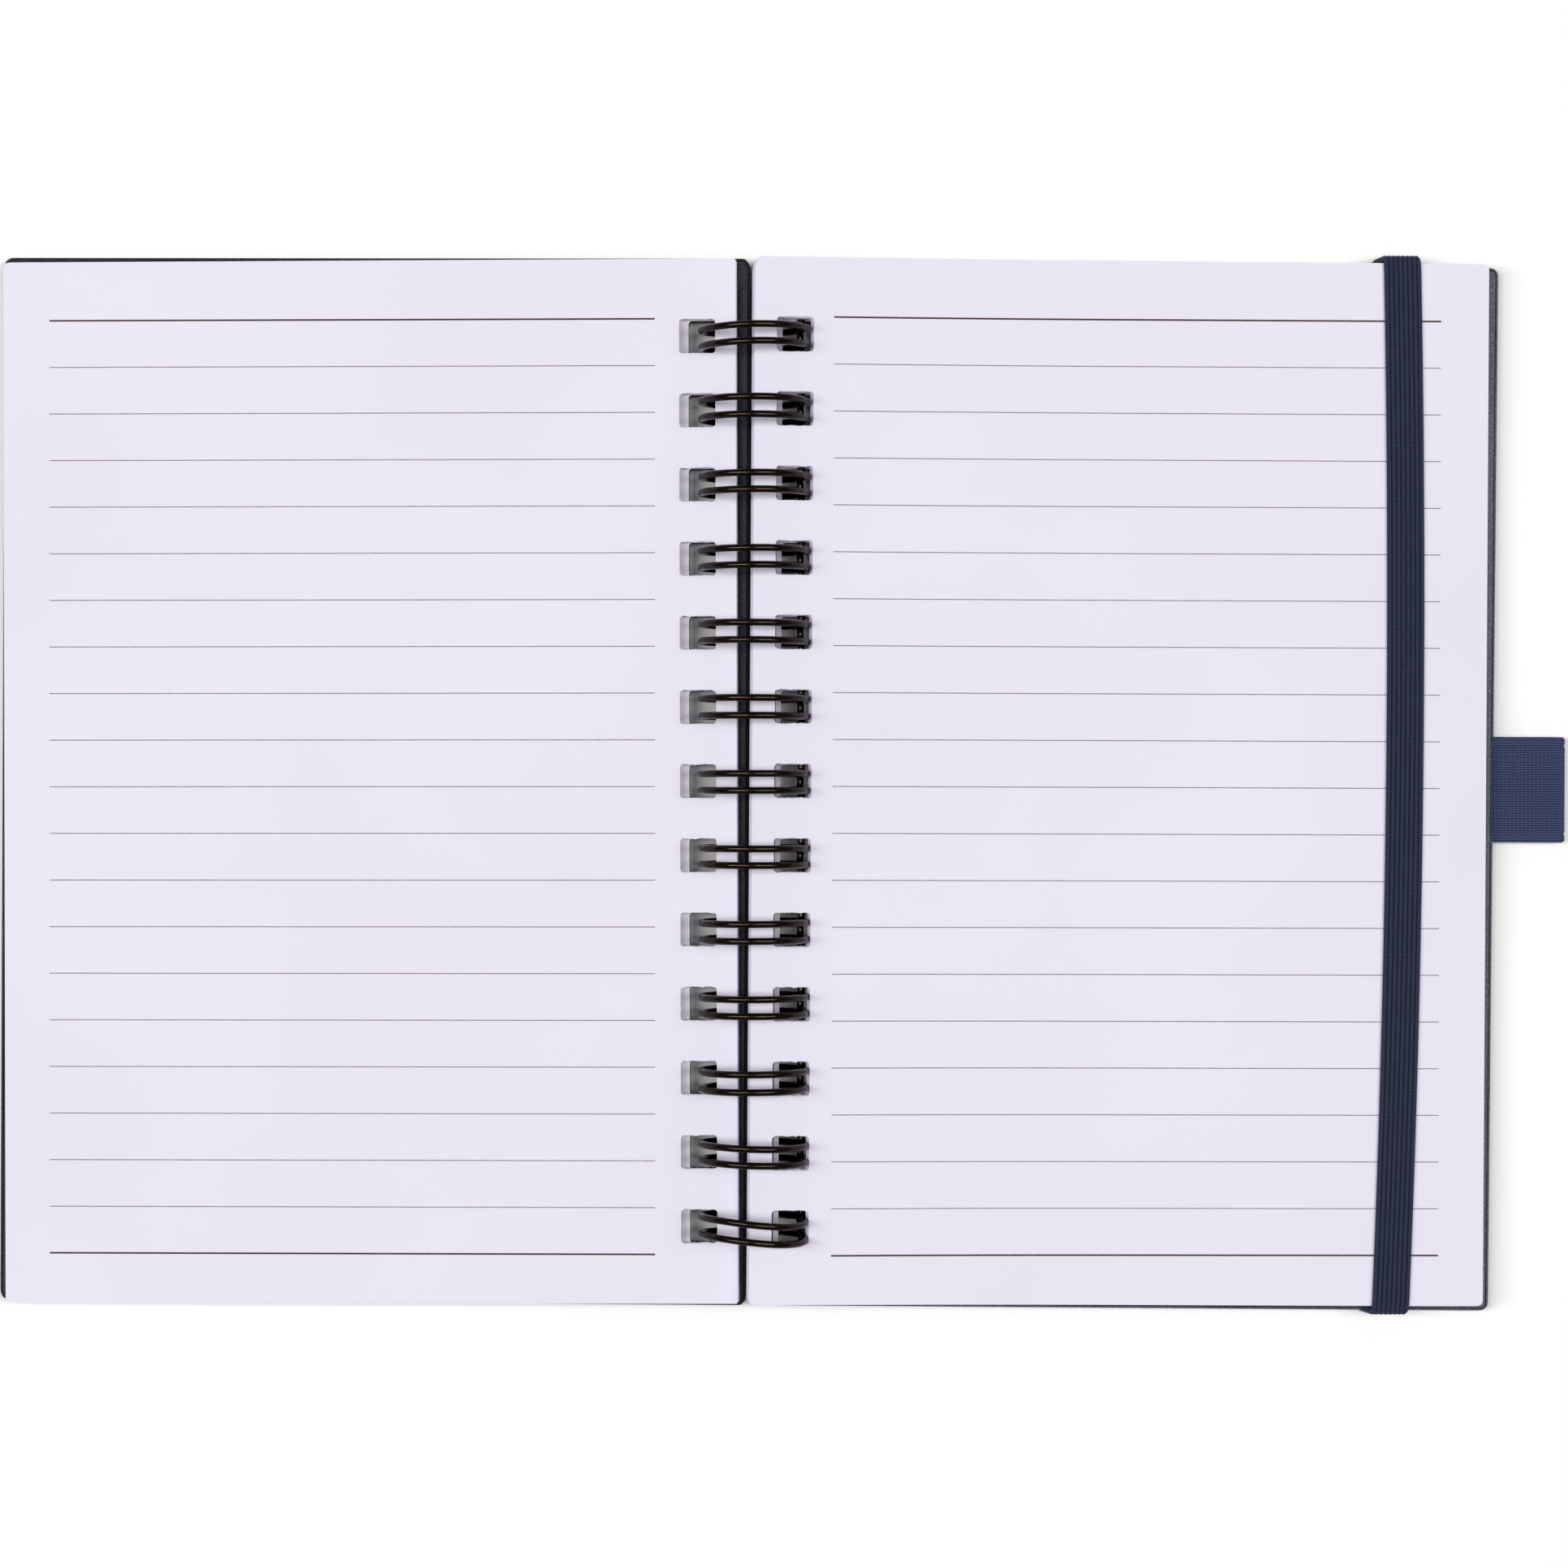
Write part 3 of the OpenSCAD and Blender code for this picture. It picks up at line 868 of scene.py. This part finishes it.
def band_centre(y, w, side):
    """Where the middle of the band lies across the page: it slants under the cover."""
    turn_y, slit_y = cover_h / 2, cover_h / 2 - slit_in
    top_w = inner_w + right_stack_t
    at_fold = band_mid(side * turn_y)
    if w > top_w and y < turn_y - band_fold_r:
        return band_mid(side * y)
    if y >= turn_y - band_fold_r - 0.1:
        drop = top_w + band_fold_r
        return at_fold - fold_slip[side] * min(1.0, max(0.0, (drop - w) / drop))
    run = min(1.0, (turn_y - y) / (turn_y - slit_y))
    start = at_fold - fold_slip[side]
    return start + (slit_u - start) * run


def elastic_band():
    """Ribbed elastic round the right-hand half, with painted shade in the grooves between its ribs.
    """
    section = ribbed_section(band_w, band_t, band_ribs, band_rib_depth, band_rib_steps)
    half = band_path()
    route = [(-y, w, -oy, ow, -1) for y, w, oy, ow in reversed(half[1:])]
    route += [(y, w, oy, ow, 1) for y, w, oy, ow in half]
    rings = []
    for y, w, out_y, out_w, side in route:
        mid = band_centre(abs(y), w, side)
        rings.append([(mid + a, y + out_y * b, w + out_w * b) for a, b in section])
    points, faces = sweep(rings)
    band = make_object(
        "closing_band", points, faces, RIGHT, band_cloth, "root", 60
    )
    # The faces in the grooves between the ribs take a darker copy of the cloth: painted shade.
    band.data.materials.append(band_groove_painted_shade)
    strips = len(section)
    for index, face in enumerate(band.data.polygons[: strips * (len(rings) - 1)]):
        deep = groove_quad(index % strips, band_rib_steps, band_ribs * band_rib_steps)
        face.material_index = 1 if deep else 0
    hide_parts("elastic_band")


elastic_band()


# ---- Pen loop ----


def loop_path():
    """Middle line of the webbing as (u, w), from tail to tail round the fold."""
    mid_w, half_t = cover_t - loop_t, loop_t / 2
    steps_per_rib = 7
    fold_r = loop_fold / 2 - half_t
    fold_u = loop_u + loop_out - loop_fold / 2
    lean = math.asin((fold_r - half_t) / (fold_u - loop_u))
    tangent = (fold_u - fold_r * math.sin(lean), mid_w + fold_r * math.cos(lean))
    corners = [(loop_u - loop_tail, mid_w + half_t), (loop_u, mid_w + half_t), tangent]
    path = []
    step = loop_rib / steps_per_rib
    for a, b in zip(corners, corners[1:]):
        count = max(1, round(math.dist(a, b) / step))
        for t in [i / count for i in range(count)]:
            path.append((a[0] + (b[0] - a[0]) * t, a[1] + (b[1] - a[1]) * t))
    start = 90 + math.degrees(lean)
    count = round(math.radians(2 * start) * fold_r / step)
    path += arc((fold_u, mid_w), fold_r, start, -start, count)
    return path + [(u, 2 * mid_w - w) for u, w in reversed(path[: -count - 1])]


def webbing_rib(travelled, from_edge):
    """How high the webbing stands and how deep its grooves are, the height as a share."""
    beat = math.pi * travelled / loop_rib
    if abs(from_edge - selvedge_w) < selvedge_groove:
        return 0.0, loop_rib_depth
    if from_edge < selvedge_w:
        return abs(math.sin(beat * 2)) ** 0.8, selvedge_depth
    return abs(math.sin(beat)) ** 0.7, loop_rib_depth


def pen_loop():
    """Ribbed webbing with a plain selvedge at each side, and painted shade in its grooves."""
    path = loop_path()
    half_w, steps, edge_r = loop_w / 2, 48, 0.35
    across = [-half_w + loop_w * i / steps for i in range(steps + 1)]
    travelled = 0.0
    rings, deep = [], []
    for i, (u, w) in enumerate(path):
        before = path[max(0, i - 1)]
        after = path[min(len(path) - 1, i + 1)]
        along = Vector((after[0] - before[0], after[1] - before[1])).normalized()
        out = Vector((-along.y, along.x))
        travelled += math.dist(before, (u, w))
        outer, inner = [], []
        for a in across:
            from_edge = half_w - abs(a)
            ridge, depth = webbing_rib(travelled, from_edge)
            deep.append(depth == loop_rib_depth and ridge < 0.5)
            edge = min(1.0, from_edge / edge_r) ** 0.5
            high = (loop_t / 2 - depth * (1 - ridge)) * edge
            low = loop_t / 2 * edge
            outer.append((u + out.x * high, a - loop_drop, w + out.y * high))
            inner.append((u - out.x * low, a - loop_drop, w - out.y * low))
        rings.append(outer + list(reversed(inner[1:-1])))
    points, faces = sweep(rings)
    webbing = make_object(
        "pen_webbing", points, faces, RIGHT, loop_cloth, "root", 60
    )
    # The faces in the grooves, and in the groove by each selvedge, take a darker copy of the cloth:
    # painted shade.
    webbing.data.materials.append(loop_groove_painted_shade)
    strips, wide = len(rings[0]), len(across)
    for index, face in enumerate(webbing.data.polygons[: strips * (len(rings) - 1)]):
        row, strip = divmod(index, strips)
        spot = row * wide + strip
        dark = strip < wide - 1 and deep[spot] and deep[spot + wide + 1]
        face.material_index = 1 if dark else 0
    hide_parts("pen_loop")


pen_loop()


# ---- Wire ----


def flat_route():
    """The wire unrolled: s along the loops from the seam, y along the row."""
    half = pair_gap / 2
    tip_s = (tip_angle - seam_angle) * ring_r + 2 * math.pi * ring_r
    leg_steps, tip_steps, bend_steps = 72, 12, 8
    rng = random.Random("wire")
    route = [(0.0, loop_y[0] - half - root_r - stub_len)]
    for i, y in enumerate(loop_y):
        gap = half + rng.uniform(-gap_play, gap_play)
        own_lean = (rng.uniform(-lean_play, lean_play), 0.0)
        to_left, to_right = loop_lean.get(i, own_lean)

        def leg(step, side):
            s = root_r + (tip_s - root_r) * step / leg_steps
            away = (1 - math.cos(s / ring_r)) / 2
            near = max(0.0, math.sin(s / ring_r)) * (1 - away)
            return (s, y + side * gap + to_left * away**2 + to_right * near)

        bend = [
            (root_r - root_r * math.cos(a), root_r * math.sin(a))
            for a in quarter(bend_steps)
        ]
        route += [(s, y - gap - root_r + rise) for s, rise in bend]
        route += [leg(k, -1) for k in range(1, leg_steps)]
        for a in [math.pi * k / tip_steps for k in range(tip_steps + 1)]:
            route.append((tip_s + gap * math.sin(a), y - gap * math.cos(a)))
        route += [leg(k, 1) for k in range(leg_steps - 1, 0, -1)]
        route += [(s, y + gap + root_r - rise) for s, rise in reversed(bend)]
    route.append((0.0, loop_y[-1] + half + root_r + stub_len))
    return route


def binding_wire():
    """One length of wire, swept along its route rolled up round the axis of the loops."""
    route = []
    for s, y in flat_route():
        a = seam_angle + s / ring_r
        x, z = axis_x + ring_r * math.cos(a), ring_z + ring_r * math.sin(a)
        route.append(Vector((x, y, z)))
    round_wire = [2 * math.pi * k / wire_sides for k in range(wire_sides)]
    rings = []
    across = Vector((0, 0, 1))
    for i, p in enumerate(route):
        ahead = route[min(i + 1, len(route) - 1)] - route[max(i - 1, 0)]
        ahead.normalize()
        across = (across - ahead * across.dot(ahead)).normalized()
        other = ahead.cross(across)
        rings.append(
            [
                p + (across * math.cos(a) + other * math.sin(a)) * (wire_d / 2)
                for a in round_wire
            ]
        )
    points, faces = sweep(rings)
    place = Matrix.Identity(4)
    wire = make_object(
        "twin_wire", points, faces, place, wire_paint, "root", 60
    )
    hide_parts("binding_wire")


binding_wire()


# ---- Floor, lights and camera ----


def floor():
    """A wide pale floor, in metres."""
    mesh = bpy.data.meshes.new("floor")
    size = 4.0
    corners = [(-size, -size, 0), (size, -size, 0), (size, size, 0), (-size, size, 0)]
    mesh.from_pydata(corners, [], [(0, 1, 2, 3)])
    material, _, _ = new_material(
        "floor", Base_Color=(0.99, 0.99, 0.99, 1), Roughness=0.9
    )
    mesh.materials.append(material)
    plane = bpy.data.objects.new("floor", mesh)
    bpy.context.scene.collection.objects.link(plane)


def softbox(name, place, size, power, colour):
    """A soft light that faces the notebook: place and size in metres, power in watts."""
    light = bpy.data.lights.new(name, "AREA")
    light.shape = "RECTANGLE"
    light.size, light.size_y = size
    light.energy = power
    light.color = colour
    lamp = bpy.data.objects.new(name, light)
    lamp.location = place
    lamp.rotation_euler = Vector(place).to_track_quat("Z", "Y").to_euler()
    bpy.context.scene.collection.objects.link(lamp)


def studio():
    """Even light from all round."""
    world = bpy.data.worlds.new("studio")
    world.use_nodes = True
    background = world.node_tree.nodes["Background"]
    background.inputs["Color"].default_value = (0.93, 0.94, 1.0, 1)
    background.inputs["Strength"].default_value = 0.17
    bpy.context.scene.world = world
    bpy.context.scene.view_settings.view_transform = "Standard"


def camera():
    """Looks straight down, as the photograph does, with its scale at page height."""
    picture_px, px_per_mm, page_z, camera_z = 1932, 7.2, 8.0, 650.0
    half_view = picture_px / 2 / px_per_mm
    lens = bpy.data.cameras.new("camera")
    lens.sensor_width = 36.0
    lens.lens = lens.sensor_width / 2 * (camera_z - page_z) / half_view
    lens.clip_start = 0.01
    eye = bpy.data.objects.new("camera", lens)
    eye.location = Vector((axis_x + 5.23, -0.35, camera_z)) * MM
    bpy.context.scene.collection.objects.link(eye)
    bpy.context.scene.camera = eye


floor()
softbox("key", (-0.92, 0.05, 1.56), (0.45, 1.3), 18.6, (1.0, 0.98, 0.955))
softbox("fill", (0.74, 0.05, 1.63), (0.45, 1.3), 16.8, (1.0, 0.98, 0.96))
studio()
camera()
